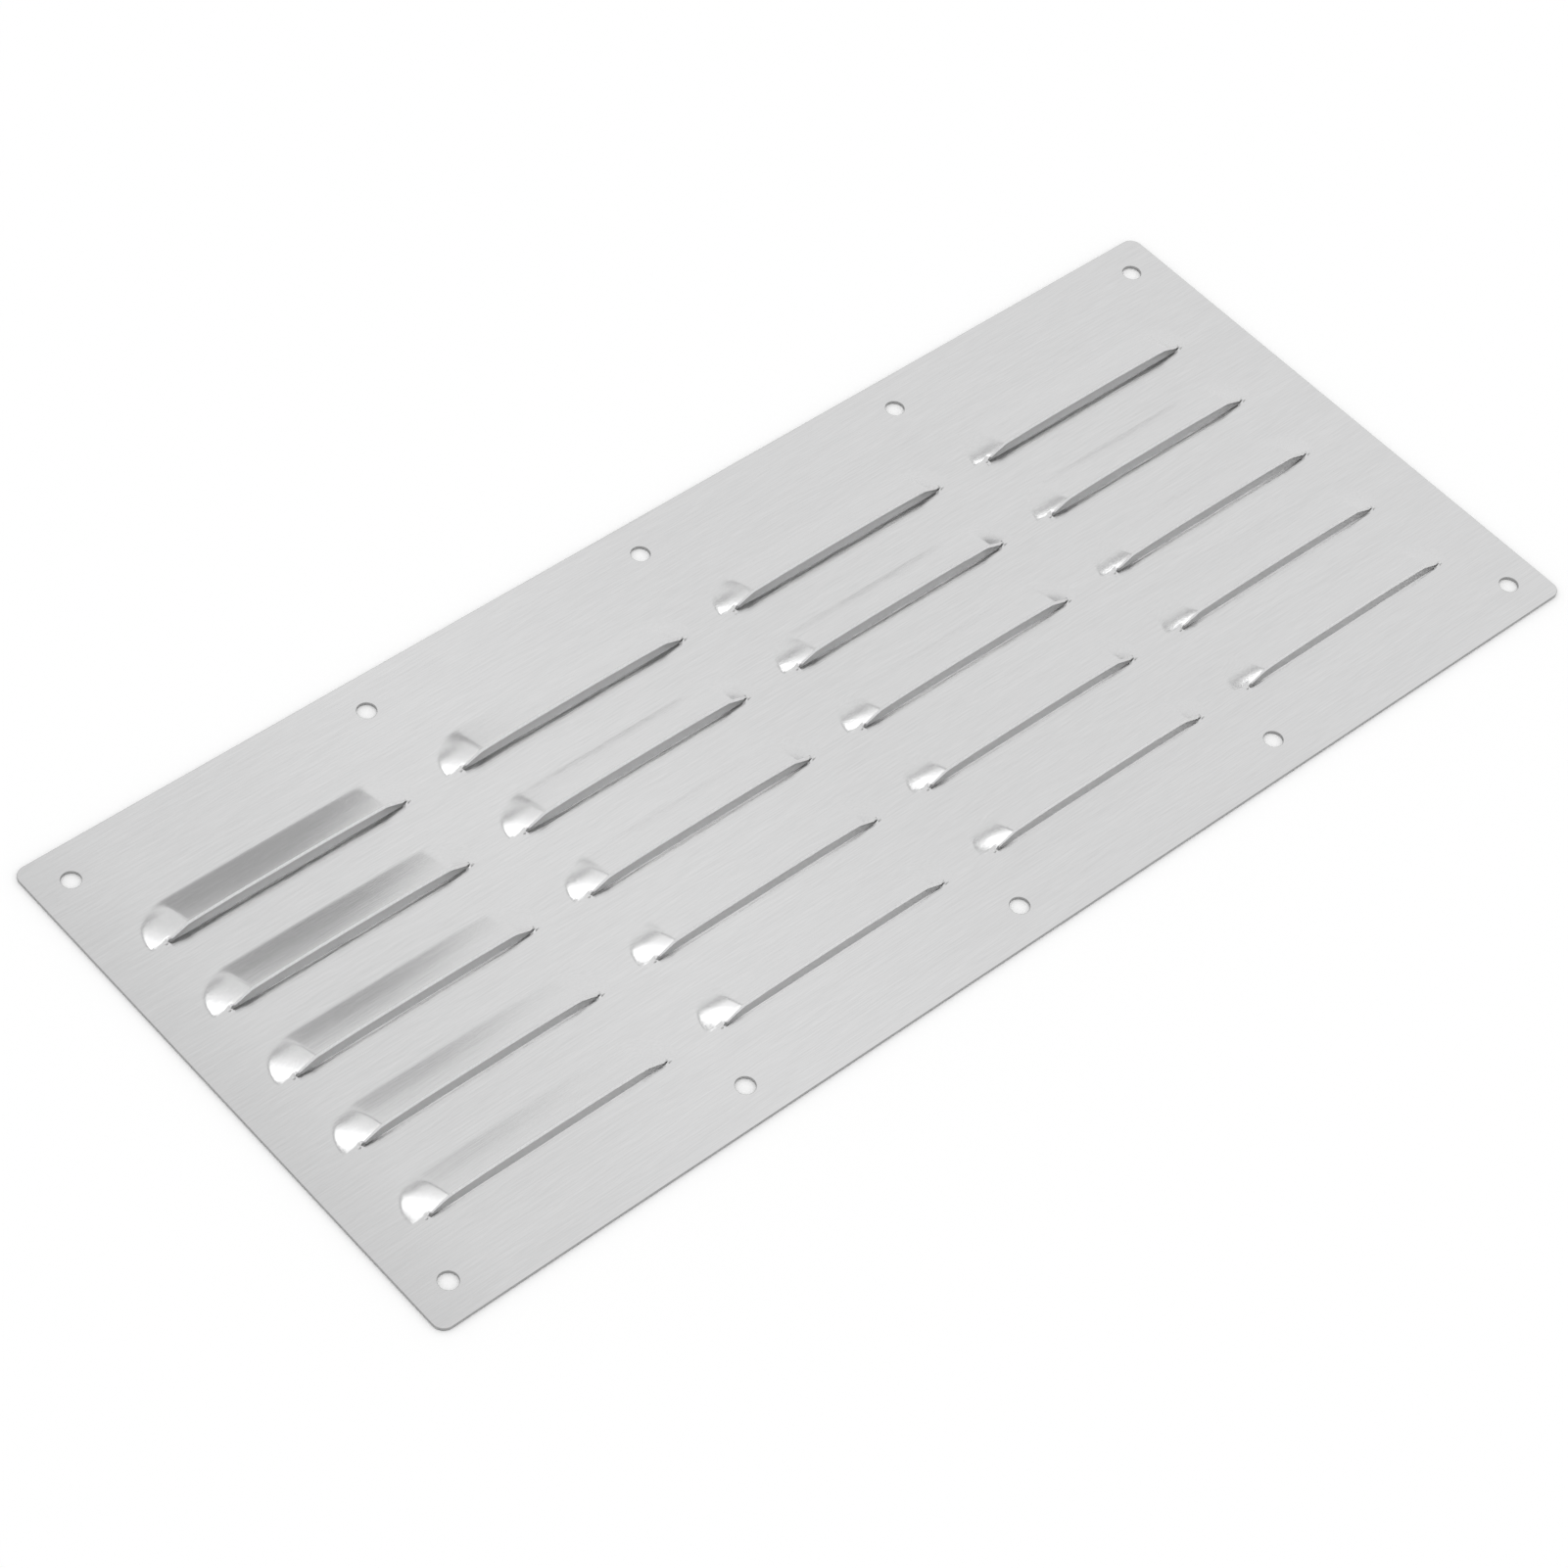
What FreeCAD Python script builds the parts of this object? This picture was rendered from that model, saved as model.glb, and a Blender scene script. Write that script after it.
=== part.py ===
import FreeCAD, Part
import math
import os

# Louvred vent panel: one flat stainless steel sheet, slit and pressed in one piece.
# Millimetres. The back face lies on Z = 0 and the louvre mouths face -Y.

# Sheet
sheet_length = 381.0
sheet_width = 165.1
sheet_thickness = 0.95
corner_radius = 3.2

# Screw holes along the two long edges
hole_diameter = 5.2
hole_inset = 10.16
holes_per_edge = 5

# Pattern of louvre slits, measured from the middle of the sheet
column_count = 4
row_count = 5
column_pitch = 90.17
row_pitch = 24.8
pattern_offset_x = -1.8
pattern_offset_y = -6.65

# One louvre: a straight slit with the sheet behind it pushed up into a hood
slit_length = 74.6
hood_depth = 11.8      # from the slit back to where the sheet is flat again
lip_rise = 4.1         # of the lip over the sheet, at mid length
lip_crown = 0.5        # how much the lip drops from there to its rounded ends
lip_setback = 0.7      # how far the raised lip draws back from the slit, at mid length
end_length = 7.0       # of each rounded end, along the slit
root_radius = 1.2      # of the bend at the foot of the hood
pinch_slope = 64.0     # degrees, of the wall that closes the hood past its slit
pinch_turn = 38.0      # degrees, of that wall away from the line of the slit

up = FreeCAD.Vector(0, 0, 1)
half_slit = slit_length / 2
end_axis = half_slit - end_length
end_rise = lip_rise - lip_crown
core_floor = -2 * sheet_thickness


def hood_section(x, rise, setback=0.0):
    # Section of the forming core: slope from the lip, tangent bend, flat foot
    lip = FreeCAD.Vector(x, setback, rise)
    foot = FreeCAD.Vector(x, hood_depth, 0)
    centre = foot + up * root_radius
    span = (centre - lip).Length
    fall = math.atan2(rise - root_radius, hood_depth - setback) + math.asin(root_radius / span)
    reach = math.sqrt(span ** 2 - root_radius ** 2)
    touch = lip + FreeCAD.Vector(0, math.cos(fall), -math.sin(fall)) * reach
    lowest = ((touch - centre).normalize() - up).normalize()
    back = FreeCAD.Vector(x, hood_depth, core_floor)
    front = FreeCAD.Vector(x, setback, core_floor)
    edges = [Part.LineSegment(lip, touch),
             Part.Arc(touch, centre + lowest * root_radius, foot),
             Part.LineSegment(foot, back),
             Part.LineSegment(back, front),
             Part.LineSegment(front, lip)]
    return Part.Wire([edge.toShape() for edge in edges])


def pinch_block():
    # Space over the wall that dives to the end of the slit, where the metal is whole
    height = 2 * lip_rise
    turn = math.radians(pinch_turn)
    along = FreeCAD.Vector(math.cos(turn), math.sin(turn), 0)
    behind = FreeCAD.Vector(-math.sin(turn), math.cos(turn), 0)
    slit_end = FreeCAD.Vector(half_slit, 0, 0)
    wall_top = behind * (height / math.tan(math.radians(pinch_slope))) + up * height
    ahead = behind * (-2 * hood_depth)
    corners = [slit_end, slit_end + wall_top, slit_end + ahead + up * height, slit_end + ahead]
    block = Part.Face(Part.makePolygon(corners + corners[:1])).extrude(along * 4 * hood_depth)
    return block.translated(along * -2 * hood_depth)


def forming_core():
    # The shape that the sheet is pressed over: crowned slope with a turned end on each side
    end = hood_section(end_axis, end_rise)
    crest = hood_section(0, lip_rise, lip_setback)
    middle = Part.makeLoft([hood_section(-end_axis, end_rise), crest, end], True)
    right = Part.Face(end).revolve(FreeCAD.Vector(end_axis, 0, 0), up, -90).cut(pinch_block())
    left = right.mirror(FreeCAD.Vector(0, 0, 0), FreeCAD.Vector(1, 0, 0))
    return middle.fuse([right, left])


def make_hood():
    # Pressing moves the metal straight up, so it keeps its thickness along Z
    core = forming_core()
    return core.translated(up * sheet_thickness).cut(core)


def hood_outline():
    # Foot of the hood on the sheet: straight along the slit, a quarter circle at each end
    side = end_axis + hood_depth
    bulge = hood_depth * math.sqrt(0.5)
    front_right = FreeCAD.Vector(side, 0, 0)
    back_right = FreeCAD.Vector(end_axis, hood_depth, 0)
    front_left = FreeCAD.Vector(-side, 0, 0)
    back_left = FreeCAD.Vector(-end_axis, hood_depth, 0)
    edges = [Part.LineSegment(front_left, front_right),
             Part.Arc(front_right, FreeCAD.Vector(end_axis + bulge, bulge, 0), back_right),
             Part.LineSegment(back_right, back_left),
             Part.Arc(back_left, FreeCAD.Vector(-end_axis - bulge, bulge, 0), front_left)]
    return Part.Wire([edge.toShape() for edge in edges])


def centred(count, pitch):
    return [(i - (count - 1) / 2) * pitch for i in range(count)]


def louvre_places():
    return [FreeCAD.Vector(pattern_offset_x + x, pattern_offset_y + y, 0)
            for y in centred(row_count, row_pitch)
            for x in centred(column_count, column_pitch)]


def hole_places():
    pitch = (sheet_length - 2 * hole_inset) / (holes_per_edge - 1)
    edge_spacing = sheet_width - 2 * hole_inset
    return [FreeCAD.Vector(x, y, 0)
            for y in centred(2, edge_spacing)
            for x in centred(holes_per_edge, pitch)]


def make_blank():
    # Flat sheet with rounded corners, its screw holes and a window for each hood
    corner = FreeCAD.Vector(-sheet_length / 2, -sheet_width / 2, 0)
    sheet = Part.makeBox(sheet_length, sheet_width, sheet_thickness, corner)
    upright = [edge for edge in sheet.Edges if edge.tangentAt(edge.FirstParameter).cross(up).Length < 0.5]
    sheet = sheet.makeFillet(corner_radius, upright)
    window = Part.Face(hood_outline()).extrude(up * sheet_thickness)
    cuts = [window.translated(place) for place in louvre_places()]
    cuts += [Part.makeCylinder(hole_diameter / 2, sheet_thickness, place) for place in hole_places()]
    return sheet.cut(cuts)


def make_panel():
    hood = make_hood()
    return make_blank().fuse([hood.translated(place) for place in louvre_places()]).removeSplitter()


os.makedirs("parts", exist_ok=True)
panel = make_panel()
panel.Solids[0].exportStep("parts/vent_panel.step")
print("vent_panel:", len(panel.Solids), "solid, valid", panel.isValid(), "volume", round(panel.Volume, 1), "mm3")
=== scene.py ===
import math

import bmesh
import bpy
from mathutils import Matrix, Vector


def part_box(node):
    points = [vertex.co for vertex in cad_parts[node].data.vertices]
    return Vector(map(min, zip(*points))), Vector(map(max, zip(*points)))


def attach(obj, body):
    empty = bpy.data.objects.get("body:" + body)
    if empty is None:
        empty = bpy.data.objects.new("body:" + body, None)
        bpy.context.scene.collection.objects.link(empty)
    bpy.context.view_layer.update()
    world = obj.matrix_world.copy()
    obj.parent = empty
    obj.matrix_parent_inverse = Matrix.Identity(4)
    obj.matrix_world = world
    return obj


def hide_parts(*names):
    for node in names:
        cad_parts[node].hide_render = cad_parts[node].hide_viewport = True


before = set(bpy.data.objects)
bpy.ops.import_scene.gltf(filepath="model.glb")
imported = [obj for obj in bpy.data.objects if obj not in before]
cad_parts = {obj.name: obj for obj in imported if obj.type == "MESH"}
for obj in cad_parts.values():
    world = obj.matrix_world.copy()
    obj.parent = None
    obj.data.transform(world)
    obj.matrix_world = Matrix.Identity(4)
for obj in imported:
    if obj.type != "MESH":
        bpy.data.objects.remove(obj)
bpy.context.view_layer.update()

mm = 0.001


# Shader maths: a wrapped socket that adds a Math node for each operation
class Wire:
    def __init__(self, graph, socket):
        self.graph = graph
        self.socket = socket

    def math(self, operation, first, second):
        return self.graph.add("ShaderNodeMath", {"operation": operation}, {0: first, 1: second})

    def __add__(self, other):
        return self.math("ADD", self, other)

    def __radd__(self, other):
        return self.math("ADD", other, self)

    def __sub__(self, other):
        return self.math("SUBTRACT", self, other)

    def __mul__(self, other):
        return self.math("MULTIPLY", self, other)

    def __truediv__(self, other):
        return self.math("DIVIDE", self, other)

    def larger(self, other):
        return self.math("MAXIMUM", self, other)

    def ramp(self, low, high, start=0.0, stop=1.0):
        # start below low, stop above high, and a smooth step between them
        values = {"Value": self, "From Min": low, "From Max": high, "To Min": start, "To Max": stop}
        return self.graph.add("ShaderNodeMapRange", {"interpolation_type": "SMOOTHSTEP"}, values)


class Graph:
    def __init__(self, owner):
        owner.use_nodes = True
        self.tree = owner.node_tree
        self.tree.nodes.clear()

    def add(self, kind, settings=None, values=None, out=0):
        # any node: its settings come first, then the values or links of its sockets
        node = self.tree.nodes.new(kind)
        for name, value in (settings or {}).items():
            setattr(node, name, value)
        for name, value in (values or {}).items():
            if isinstance(value, Wire):
                self.tree.links.new(value.socket, node.inputs[name])
            else:
                node.inputs[name].default_value = value
        return Wire(self, node.outputs[out]) if len(node.outputs) else None

    def axis(self, place, name):
        return self.add("ShaderNodeSeparateXYZ", None, {"Vector": place}, out=name)

    def stretch(self, place, scale):
        return self.add("ShaderNodeMapping", None, {"Vector": place, "Scale": scale})

    def noise(self, place, scale, detail, roughness):
        return self.add("ShaderNodeTexNoise", None,
                        {"Vector": place, "Scale": scale, "Detail": detail, "Roughness": roughness})

    def mixColor(self, factor, first, second):
        # sockets 0, 6 and 7 of a Mix node are its factor and its two colours, and output 2 is the mixed one
        return self.add("ShaderNodeMix", {"data_type": "RGBA"}, {0: factor, 6: first, 7: second}, out=2)


def grey(value):
    return (value, value, value, 1.0)


# The sheet and its pressed louvres

sheet = {
    "thickness": 0.95 * mm,
    "cornerRadius": 3.2 * mm,
    "holeRadius": 2.6 * mm,
    "holeInset": 10.16 * mm,
    "holesPerEdge": 5,
    "edgeRound": 0.12 * mm,      # rolled over edge that the shear and the punch leave
    "columns": 4,
    "rows": 5,
    "columnPitch": 90.17 * mm,
    "rowPitch": 24.8 * mm,
    "patternX": -1.8 * mm,
    "patternY": -6.65 * mm,
}

louvre = {
    "halfSlit": 36.4 * mm,
    "slitGap": 0.16 * mm,        # what the blade takes away, none at the ends of the slit
    "gapReach": 6 * mm,          # and full this far in from them
    "depth": 11.65 * mm,         # from the slit back to where the sheet is flat again
    "lipRise": 4.05 * mm,
    "lipCrown": 0.25 * mm,
    "lipSetback": 0.45 * mm,     # how far the raised lip draws back from the slit at mid length
    "setbackPower": 4.2,         # and how evenly along the rest of it
    "crease": 30.4 * mm,         # from the middle of the slit to where a rounded end begins
    "endReach": 10.3 * mm,       # from there to where it is flat again
    "endFullness": 2.5,          # 2 makes its foot an ellipse
    "slopePower": 1.06,          # 1 is a straight slope
    "slopeBreak": 5.2 * mm,      # a faint crease along the slope, where the punch's flat begins
    "slopeStep": 0.08 * mm,
    "creaseSoftness": 0.16 * mm,
    "creaseStart": 2 * mm,       # how far before the crease its softness can begin
    "footSoftness": 0.35 * mm,
    "endFoot": 0.14 * mm,
    "frontWall": 0.95 * mm,      # how far behind the slit's end the pinched front is up
    "frontRound": 2.2 * mm,      # how far the front foot curves back where it meets the side
    "frontBulge": 0.7 * mm,      # how far its foot stands before the line of the slit
    "bulgeReach": 1.5 * mm,      # from the slit's end to where it stands that far out
    "frontTip": 0.25 * mm,       # the same at the slit's very end, which is pulled up with it
    "tipReach": 1.1 * mm,        # and how far the sheet before the slit follows that end
    "liftReach": 3.0 * mm,       # in front of the slit the sheet is lifted a little
    "lift": 0.20 * mm,
    "liftPower": 8,              # and how evenly along the slit
}

meshLines = {
    "tiny": 0.01 * mm,           # for telling which vertices lie on a line
    "corner": 4.0 * mm,
    "plain": 3.0 * mm,
    "alongSlit": 8.0 * mm,
    "beyondEnd": 0.7 * mm,
    "atEnd": 0.33 * mm,
    "inEnd": 0.65 * mm,
    "acrossSlope": 0.77 * mm,
    "endBand": 1.0 * mm,         # reach of the finest lines, on both sides of a slit and of its ends
    "outBand": 7.0 * mm,         # and of the next finest: out past the ends,
    "inBand": 9.0 * mm,          # in from them,
    "frontBand": 3.0 * mm,       # before the slit
    "backBand": 2.5 * mm,        # and behind it
    "bevelAngle": math.radians(60),      # edges sharper than this are rounded
    "creaseAngle": math.radians(35),     # and sharper than this are shaded sharp
    "upright": 0.5,              # a face whose normal rises less than this was sheared
    "holePatch": 4.6 * mm,
    "holeSegments": 48,
    "cornerSegments": 8,
}


def softMin(a, b, k):
    return min(a, b) - max(k - abs(a - b), 0) ** 2 / (4 * k)


def softMax(a, b, k):
    return -softMin(-a, -b, k)


def hoodRise(x, y):
    # height over the sheet, with x along the slit from its middle and y behind it
    h = louvre
    out = abs(x) - h["crease"]
    back = max(y, 0) / h["depth"]
    top = h["lipRise"] - h["lipCrown"] * min(abs(x) / h["crease"], 1) ** 2
    slope = top * (1 - back ** h["slopePower"])
    slope += h["slopeStep"] * max(1 - abs(max(y, 0) - h["slopeBreak"]) / h["slopeBreak"], 0)
    slope = softMax(slope, 0, h["footSoftness"])
    if out < -h["creaseStart"]:
        return slope

    # the rounded end falls straight from the crease to its foot
    reach = h["endReach"] * math.sqrt(max(1 - back ** h["endFullness"], 0.01))
    end = softMax(slope * (1 - out / reach), 0, h["endFoot"])
    return softMin(slope, end, h["creaseSoftness"]) * frontRise(x, y)


def frontRise(x, y):
    # 0 along the foot of the pinched front, from the slit's end outwards, and 1 once it is up
    h = louvre
    out = abs(x) - h["halfSlit"]
    side = h["crease"] + h["endReach"] - h["halfSlit"]
    if out < 0:
        behind = h["frontTip"] + math.hypot(out, y)
    else:
        behind = y + h["frontTip"] + (h["frontBulge"] - h["frontTip"]) * min(out / h["bulgeReach"], 1)
        behind -= h["frontRound"] * (1 - math.sqrt(max(1 - (out / side) ** 2, 0)))
    short = 1 - min(max(behind / h["frontWall"], 0), 1)
    return 1 - short ** 2


def frontLift(x, y):
    # the blade leaves the edge in front of the slit bent up
    h = louvre
    near = max(1 + y / h["liftReach"], 0)
    lift = h["lift"] * near ** 2 * max(1 - (x / h["halfSlit"]) ** h["liftPower"], 0)
    toTip = min(math.hypot(h["halfSlit"] - abs(x), y) / h["tipReach"], 1)
    return lift + hoodRise(h["halfSlit"], 0) * (1 - toTip) ** 2


def drawBack(x, y):
    # the raised metal is pulled back from the slit, most at the lip and not at the slit's ends
    along = min(abs(x) / louvre["halfSlit"], 1)
    down = min(max(y / louvre["depth"], 0), 1)
    return louvre["lipSetback"] * (1 - along ** louvre["setbackPower"]) * (1 - down)


def centred(count, pitch):
    return [(i - (count - 1) / 2) * pitch for i in range(count)]


def lines(start, stops):
    # grid lines from start: each stop is a place and the spacing that leads up to it
    places = [start]
    for place, spacing in stops:
        first = places[-1]
        count = max(1, round((place - first) / spacing))
        places += [first + (place - first) * (i + 1) / count for i in range(count)]
    return places


def linesAlong(halfLength, middles):
    m = meshLines
    end = louvre["halfSlit"]
    stops = [(-halfLength + m["corner"], m["corner"])]
    for c in middles:
        stops += [(c - end - m["outBand"], m["plain"]), (c - end - m["endBand"], m["beyondEnd"]),
                  (c - end, m["atEnd"]), (c - end + m["endBand"], m["atEnd"]),
                  (c - end + m["inBand"], m["inEnd"]), (c + end - m["inBand"], m["alongSlit"]),
                  (c + end - m["endBand"], m["inEnd"]), (c + end, m["atEnd"]),
                  (c + end + m["endBand"], m["atEnd"]), (c + end + m["outBand"], m["beyondEnd"])]
    stops += [(halfLength - m["corner"], m["plain"]), (halfLength, m["corner"])]
    return lines(-halfLength, stops)


def linesAcross(halfWidth, slits):
    m = meshLines
    stops = [(-halfWidth + m["corner"], m["corner"])]
    for s in slits:
        stops += [(s - m["frontBand"], m["plain"]), (s - m["endBand"], m["inEnd"]),
                  (s + m["endBand"], m["atEnd"]), (s + m["backBand"], m["inEnd"]),
                  (s + louvre["depth"] + m["endBand"], m["acrossSlope"])]
    stops += [(halfWidth - m["corner"], m["plain"]), (halfWidth, m["corner"])]
    return lines(-halfWidth, stops)


def placeGrid(bm, linesX, linesY):
    # a plain grid whose lines are then moved to where the louvres need them
    countX = len(linesX) - 1
    countY = len(linesY) - 1
    bmesh.ops.create_grid(bm, x_segments=countX, y_segments=countY, size=1)
    for v in bm.verts:
        column = round((v.co.x + 1) / 2 * countX)
        row = round((v.co.y + 1) / 2 * countY)
        v.co = Vector((linesX[column], linesY[row], sheet["thickness"]))


def cutSlits(bm, middles, slits):
    tiny = meshLines["tiny"]
    half = louvre["halfSlit"] + tiny
    cut = []
    for e in bm.edges:
        a, b = e.verts
        if abs(a.co.y - b.co.y) < tiny and any(abs(a.co.y - s) < tiny for s in slits):
            if any(abs(a.co.x - c) < half and abs(b.co.x - c) < half for c in middles):
                cut.append(e)
    bmesh.ops.split_edges(bm, edges=cut)


def pressLouvres(bm, middles, slits):
    tiny = meshLines["tiny"]
    # what one louvre changes, with some room
    foot = louvre["depth"] + 2 * mm
    side = louvre["halfSlit"] + 8 * mm
    for v in bm.verts:
        x = next((v.co.x - c for c in middles if abs(v.co.x - c) < side), None)
        y = next((v.co.y - s for s in slits if -louvre["liftReach"] < v.co.y - s < foot), None)
        if x is None or y is None:
            continue
        onSlit = abs(y) < tiny and abs(x) < louvre["halfSlit"] - tiny
        behind = min(f.calc_center_median().y for f in v.link_faces) > v.co.y
        if onSlit and not behind:
            inside = (louvre["halfSlit"] - abs(x)) / louvre["gapReach"]
            v.co.y -= louvre["slitGap"] * min(inside, 1)
            v.co.z += frontLift(x, y)
        elif y < -tiny and abs(x) < louvre["halfSlit"]:
            v.co.z += frontLift(x, y)
        else:
            v.co.z += hoodRise(x, y)
            v.co.y += drawBack(x, y)


def punchHole(bm, x, y):
    # the square of faces round the hole makes way for a fill between its rim and the circle
    patch = [f for f in bm.faces if abs(f.calc_center_median().x - x) < meshLines["holePatch"]
             and abs(f.calc_center_median().y - y) < meshLines["holePatch"]]
    inPatch = set(patch)
    rim = [e for f in patch for e in f.edges if not all(other in inPatch for other in e.link_faces)]
    bmesh.ops.delete(bm, geom=patch, context="FACES")
    circle = bmesh.ops.create_circle(bm, segments=meshLines["holeSegments"], radius=sheet["holeRadius"],
                                     matrix=Matrix.Translation((x, y, sheet["thickness"])))
    ring = {e for v in circle["verts"] for e in v.link_edges}
    bmesh.ops.triangle_fill(bm, edges=rim + list(ring), use_beauty=True)


def roundCorners(bm, halfLength, halfWidth):
    tiny = meshLines["tiny"]
    corners = [v for v in bm.verts if abs(v.co.x) > halfLength - tiny and abs(v.co.y) > halfWidth - tiny]
    bmesh.ops.bevel(bm, geom=corners, offset=sheet["cornerRadius"], offset_type="OFFSET", affect="VERTICES",
                    segments=meshLines["cornerSegments"], profile=0.5, material=-1)


def buildPanel():
    low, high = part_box("vent_panel")
    halfLength = (high.x - low.x) / 2
    halfWidth = (high.y - low.y) / 2
    middles = [sheet["patternX"] + x for x in centred(sheet["columns"], sheet["columnPitch"])]
    slits = [sheet["patternY"] + y for y in centred(sheet["rows"], sheet["rowPitch"])]
    holePitch = 2 * (halfLength - sheet["holeInset"]) / (sheet["holesPerEdge"] - 1)

    bm = bmesh.new()
    placeGrid(bm, linesAlong(halfLength, middles), linesAcross(halfWidth, slits))
    for y in (-halfWidth + sheet["holeInset"], halfWidth - sheet["holeInset"]):
        for x in centred(sheet["holesPerEdge"], holePitch):
            punchHole(bm, x, y)
    roundCorners(bm, halfLength, halfWidth)
    cutSlits(bm, middles, slits)
    pressLouvres(bm, middles, slits)
    bmesh.ops.recalc_face_normals(bm, faces=bm.faces)
    if sum(f.normal.z for f in bm.faces) < 0:
        bmesh.ops.reverse_faces(bm, faces=bm.faces)
    bm.normal_update()
    bmesh.ops.solidify(bm, geom=bm.faces[:], thickness=sheet["thickness"])
    roundEdges(bm, halfLength, halfWidth)
    bm.normal_update()

    shadeSharpEdges(bm)
    bm.normal_update()

    mesh = bpy.data.meshes.new("vent_panel_sheet")
    bm.to_mesh(mesh)
    bm.free()
    panel = bpy.data.objects.new("vent_panel_sheet", mesh)
    bpy.context.scene.collection.objects.link(panel)
    return panel


def roundEdges(bm, halfLength, halfWidth):
    # the outline and the holes; the lips of the louvres stay as sharp as they are sheared
    def onOutline(v):
        rim = sheet["cornerRadius"]
        return abs(v.co.x) > halfLength - rim or abs(v.co.y) > halfWidth - rim

    def onHole(v):
        rowY = halfWidth - sheet["holeInset"]
        return abs(abs(v.co.y) - rowY) < sheet["holeRadius"] * 1.01

    def isLevel(e):
        return abs(e.verts[0].co.z - e.verts[1].co.z) < 0.1 * mm

    edges = [e for e in bm.edges if len(e.link_faces) == 2 and e.calc_face_angle() > meshLines["bevelAngle"]
             and all(onOutline(v) or onHole(v) for v in e.verts) and isLevel(e)]
    rounded = bmesh.ops.bevel(bm, geom=edges, offset=sheet["edgeRound"], offset_type="OFFSET", affect="EDGES",
                              segments=2, profile=0.5, material=-1)
    for f in rounded["faces"]:
        f.material_index = 1


def shadeSharpEdges(bm):
    # smooth shading, broken at the sheared edges, whose faces have the second material
    for f in bm.faces:
        f.smooth = True
        if abs(f.normal.z) < meshLines["upright"]:
            f.material_index = 1
    for e in bm.edges:
        if len(e.link_faces) == 2:
            differ = e.link_faces[0].material_index != e.link_faces[1].material_index
            e.smooth = e.calc_face_angle() < meshLines["creaseAngle"] and not differ


# Brushed stainless steel

finish = {
    "color": 0.66,
    "cool": 1.003,               # a trace more blue
    "roughness": 0.14,
    "grainLength": 8 * mm,
    "grainWidth": 0.22 * mm,
    "grainDepth": 0.02 * mm,
    "grainShade": 0.22,          # how far the grain changes the shade
    "grainRough": 0.06,          # and the roughness
    "bandLength": 125 * mm,
    "bandWidth": 5.0 * mm,
    "bandShade": 0.05,
    "cloudScale": 22.0,
    "cloudRough": 0.05,
    # painted shade and light along the length: darker at the left end, lighter just in from it
    "paintedShadeSteps": ((-1.02, -0.86, 0.90, 0.975), (-0.86, -0.4, 1.0, 1.06), (-0.4, 0.1, 1.0, 0.96)),
    "halfLength": 0.1905,
    "halfWidth": 0.08255,
    "bowAcross": 2.516 * mm,     # how far the middle of the bowed sheet stands over its long edges
    "bowAlong": 1.267 * mm,      # how far its short ends curl up again
    "bowTwist": 0.2287 * mm,     # how far its corners do, two up and two down
    "edgePaintedShade": 0.37,            # painted shade on sheared edges low down, and painted highlight on the raised lips
    "lipPaintedHighlight": 0.86,
    # the lips are less metallic, which goes with their painted highlight
    "edgeMetal": (0.6, 0.15),
    "edgeRoughness": 0.45,
    "tearScale": (2500.0, 2500.0, 600.0),
    "tearShade": 0.3,
    "lipLow": 1.0 * mm,          # between these heights an edge changes from one to the other
    "lipHigh": 1.9 * mm,
}


def brushedSteel():
    material = bpy.data.materials.new("brushed_stainless")
    g = Graph(material)
    place = g.add("ShaderNodeTexCoord", out="Object")
    along = g.axis(place, "X") / finish["halfLength"]
    across = g.axis(place, "Y") / finish["halfWidth"]
    grainScale = (1 / finish["grainLength"], 1 / finish["grainWidth"], 1 / finish["grainWidth"])
    grain = g.noise(g.stretch(place, grainScale), 1.0, 3.0, 0.6)
    bandScale = (1 / finish["bandLength"], 1 / finish["bandWidth"], 1 / finish["bandWidth"])
    bands = g.noise(g.stretch(place, bandScale), 1.0, 3.0, 0.5)
    clouds = g.noise(place, finish["cloudScale"], 4.0, 0.6)

    # painted shade and light: the base colour is darker at the sheet's left end and a little lighter just in
    # from it, standing in for the dimmer and brighter reflection there
    atEnd, nearEnd, beyond = [along.ramp(*step) for step in finish["paintedShadeSteps"]]
    level = atEnd * nearEnd * beyond
    shade = level * (1 + (grain - 0.5) * finish["grainShade"] + (bands - 0.5) * finish["bandShade"])
    color = shade * finish["color"]
    tone = g.add("ShaderNodeCombineColor", None, {"Red": color, "Green": color, "Blue": color * finish["cool"]})
    roughness = finish["roughness"] + (grain - 0.5) * finish["grainRough"]
    roughness = roughness + (clouds - 0.5) * finish["cloudRough"]

    # the real sheet is bowed, which shows only in what it mirrors
    bow = along * along * finish["bowAlong"] - across * across * finish["bowAcross"]
    bow = bow - along * across * finish["bowTwist"]
    bump = g.add("ShaderNodeBump", None, {"Strength": 1.0, "Distance": 1.0,
                                          "Height": bow + grain * finish["grainDepth"]})
    shader = g.add("ShaderNodeBsdfPrincipled", None, {
        "Base Color": tone, "Metallic": 1.0, "Roughness": roughness, "Normal": bump})
    g.add("ShaderNodeOutputMaterial", None, {"Surface": shader})
    return material


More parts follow.
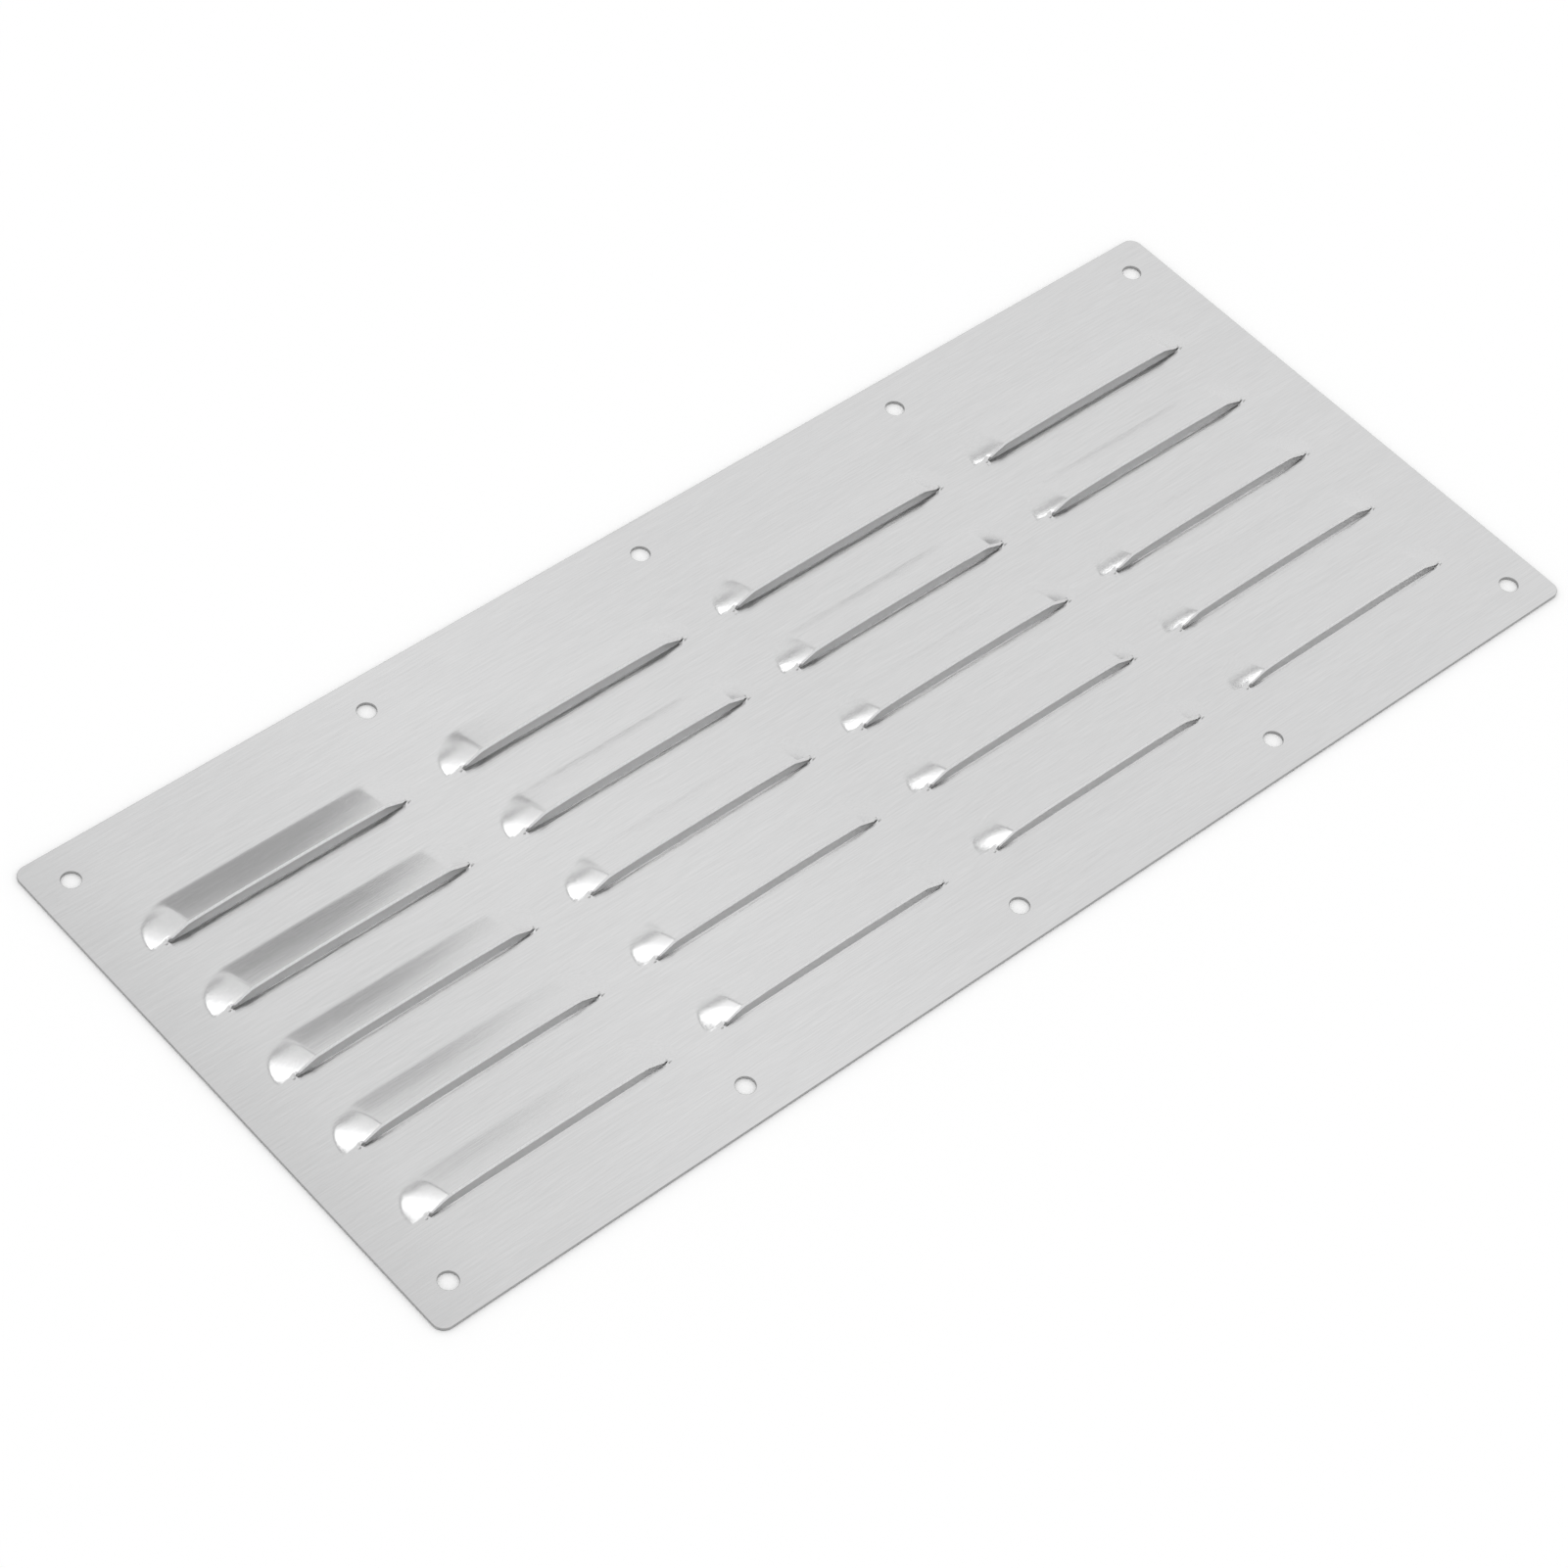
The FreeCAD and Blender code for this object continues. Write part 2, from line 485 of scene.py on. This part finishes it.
def shearedEdgeWithPaintedLight():
    # matt throughout; painted shade makes the edges dark low down where the sheet was cut flat, and a painted
    # highlight makes the raised lips bright and less metallic, with tear marks over both
    material = bpy.data.materials.new("sheared_edge_painted_light")
    g = Graph(material)
    place = g.add("ShaderNodeTexCoord", out="Object")
    height = g.axis(place, "Z")
    lip = (finish["lipLow"], finish["lipHigh"])
    tears = g.noise(g.stretch(place, finish["tearScale"]), 1.0, 2.0, 0.6)
    # painted shade on the low sheared edges and a painted highlight on the lips, changing with height
    light = height.ramp(*lip, finish["edgePaintedShade"], finish["lipPaintedHighlight"])
    shade = light * (1 + (tears - 0.5) * finish["tearShade"])
    tone = g.add("ShaderNodeCombineColor", None, {"Red": shade, "Green": shade, "Blue": shade})
    shader = g.add("ShaderNodeBsdfPrincipled", None, {
        "Base Color": tone, "Metallic": height.ramp(*lip, *finish["edgeMetal"]),
        "Roughness": finish["edgeRoughness"]})
    g.add("ShaderNodeOutputMaterial", None, {"Surface": shader})
    return material


# Camera, floor and studio light

cameraView = {
    "place": (-571.5 * mm, -493.3 * mm, 871.3 * mm),
    "direction": (0.4834, 0.4261, -0.7647),
    "up": (0.4596, 0.6199, 0.6360),
    "lens": 104.47,
    "sensor": 36,
}

studio = {
    "floorDrop": 0.05 * mm,
    "floorSize": 8.0,
    "floorSeen": 1.0,             # how white it looks to the camera and in the steel
    "floorLit": 0.8,              # and how white it lights what stands on it
    "ceiling": 2.1,               # height of the softbox, which the domes at the louvres' left ends mirror
    "softboxMiddle": (-0.55, 1.41),
    "softboxSize": (1.47, 0.57),
    "softboxPower": 2.2,
    "glowEdges": ((-1.285, 0.185, 1.1, 3.14), (-1.285, -0.53, 0.0, 1.1)),   # left, right, near and far edge
    "glowGap": 0.02,              # over the softbox
    "glowBright": 1.55,           # by the softbox, and 1 at the far edge
    "glowFade": (1.44, 3.14),
    "rimWidth": 0.22,             # grey rim along the softbox, in straight lengths
    "rimCorners": ((-0.47, 0.9), (0.29, 1.0), (0.31, 2.1), (0.49, 2.9), (0.77, 4.2)),
    "rimGrey": 0.48,
    "screenLeft": 0.1,            # upright screen behind the sheet, which the slopes of the first column mirror
    "screenRight": 0.318,
    "screenHeight": 0.6,
    "screenDistance": 0.9,
    "screenDark": 0.50,           # low down, and nothing at the top
    "screenFade": (0.24, 0.58),
}


def buildCamera():
    data = bpy.data.cameras.new("camera")
    data.sensor_width = cameraView["sensor"]
    data.sensor_fit = "HORIZONTAL"
    data.lens = cameraView["lens"]
    data.clip_start = 0.01
    data.clip_end = 50
    camera = bpy.data.objects.new("camera", data)
    forward = Vector(cameraView["direction"]).normalized()
    right = forward.cross(Vector(cameraView["up"])).normalized()
    up = right.cross(forward)
    camera.matrix_world = Matrix((right, up, -forward)).transposed().to_4x4()
    camera.location = cameraView["place"]
    bpy.context.scene.collection.objects.link(camera)
    bpy.context.scene.camera = camera


def addPlane(name, width, height, turn, middle):
    bm = bmesh.new()
    bmesh.ops.create_grid(bm, x_segments=1, y_segments=1, size=0.5)
    bmesh.ops.scale(bm, vec=(width, height, 1), verts=bm.verts)
    bmesh.ops.transform(bm, matrix=Matrix.Translation(middle) @ turn, verts=bm.verts)
    mesh = bpy.data.meshes.new(name)
    bm.to_mesh(mesh)
    bm.free()
    piece = bpy.data.objects.new(name, mesh)
    bpy.context.scene.collection.objects.link(piece)
    return piece


def seenByEye(g):
    rays = g.tree.nodes.new("ShaderNodeLightPath")
    camera = Wire(g, rays.outputs["Is Camera Ray"])
    glossy = Wire(g, rays.outputs["Is Glossy Ray"])
    through = Wire(g, rays.outputs["Is Transmission Ray"])
    return camera.larger(glossy).larger(through)


def buildFloor():
    floor = addPlane("floor", studio["floorSize"], studio["floorSize"], Matrix.Identity(4),
                     (0, 0, -studio["floorDrop"]))
    material = bpy.data.materials.new("floor_white")
    g = Graph(material)
    color = g.mixColor(seenByEye(g), grey(studio["floorLit"]), grey(studio["floorSeen"]))
    shader = g.add("ShaderNodeBsdfDiffuse", None, {"Color": color})
    g.add("ShaderNodeOutputMaterial", None, {"Surface": shader})
    floor.data.materials.append(material)


def hideFromLight(piece):
    # a card that only mirrors
    piece.visible_camera = False
    piece.visible_diffuse = False
    piece.visible_shadow = False


def cardMaterial(name, axis, fade, start, stop):
    # shines at one level below the first place of fade along the axis and at the other above the second
    material = bpy.data.materials.new(name)
    g = Graph(material)
    place = g.add("ShaderNodeTexCoord", out="Object")
    level = g.axis(place, axis).ramp(*fade, start, stop)
    shader = g.add("ShaderNodeEmission", None, {"Color": grey(1.0), "Strength": level})
    g.add("ShaderNodeOutputMaterial", None, {"Surface": shader})
    return material


def buildScreen():
    s = studio
    screen = addPlane("grey_screen", s["screenRight"] - s["screenLeft"], s["screenHeight"],
                      Matrix.Rotation(math.radians(90), 4, "X"),
                      ((s["screenRight"] + s["screenLeft"]) / 2, s["screenDistance"], s["screenHeight"] / 2))
    screen.data.materials.append(cardMaterial("screen_grey", "Z", s["screenFade"], s["screenDark"], 1.0))
    hideFromLight(screen)


def buildGlow():
    # the light fades out behind the softbox
    s = studio
    material = cardMaterial("softbox_glow", "Y", s["glowFade"], s["glowBright"], 1.0)
    for i, (left, right, near, far) in enumerate(s["glowEdges"]):
        card = addPlane("softbox_glow_%d" % (i + 1), right - left, far - near, Matrix.Identity(4),
                        ((left + right) / 2, (near + far) / 2, s["ceiling"] + s["glowGap"]))
        card.data.materials.append(material)
        hideFromLight(card)


def buildRim():
    s = studio
    material = cardMaterial("rim_grey", "Y", (0.0, 1.0), s["rimGrey"], s["rimGrey"])
    for i in range(len(s["rimCorners"]) - 1):
        start = Vector((*s["rimCorners"][i], s["ceiling"]))
        stop = Vector((*s["rimCorners"][i + 1], s["ceiling"]))
        line = stop - start
        piece = addPlane("rim_%d" % (i + 1), line.length, s["rimWidth"],
                         Matrix.Rotation(math.atan2(line.y, line.x), 4, "Z"), (start + stop) / 2)
        piece.data.materials.append(material)
        hideFromLight(piece)


def buildLights():
    # an even white sky lights everything, and the softbox is there to be mirrored
    world = bpy.data.worlds.new("studio")
    bpy.context.scene.world = world
    g = Graph(world)
    sky = g.add("ShaderNodeBackground", None, {"Color": grey(1.0), "Strength": 1.0})
    g.add("ShaderNodeOutputWorld", None, {"Surface": sky})

    data = bpy.data.lights.new("softbox", "AREA")
    data.shape = "RECTANGLE"
    data.size, data.size_y = studio["softboxSize"]
    data.energy = studio["softboxPower"]
    softbox = bpy.data.objects.new("softbox", data)
    softbox.location = (*studio["softboxMiddle"], studio["ceiling"])
    softbox.visible_diffuse = False
    bpy.context.scene.collection.objects.link(softbox)


panel = buildPanel()
panel.data.materials.append(brushedSteel())
panel.data.materials.append(shearedEdgeWithPaintedLight())
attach(panel, "root")
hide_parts("vent_panel")
print("panel:", len(panel.data.polygons), "faces")

buildCamera()
buildFloor()
buildScreen()
buildGlow()
buildRim()
buildLights()
bpy.context.scene.view_settings.view_transform = "Standard"
print("camera, floor and lights are in place")
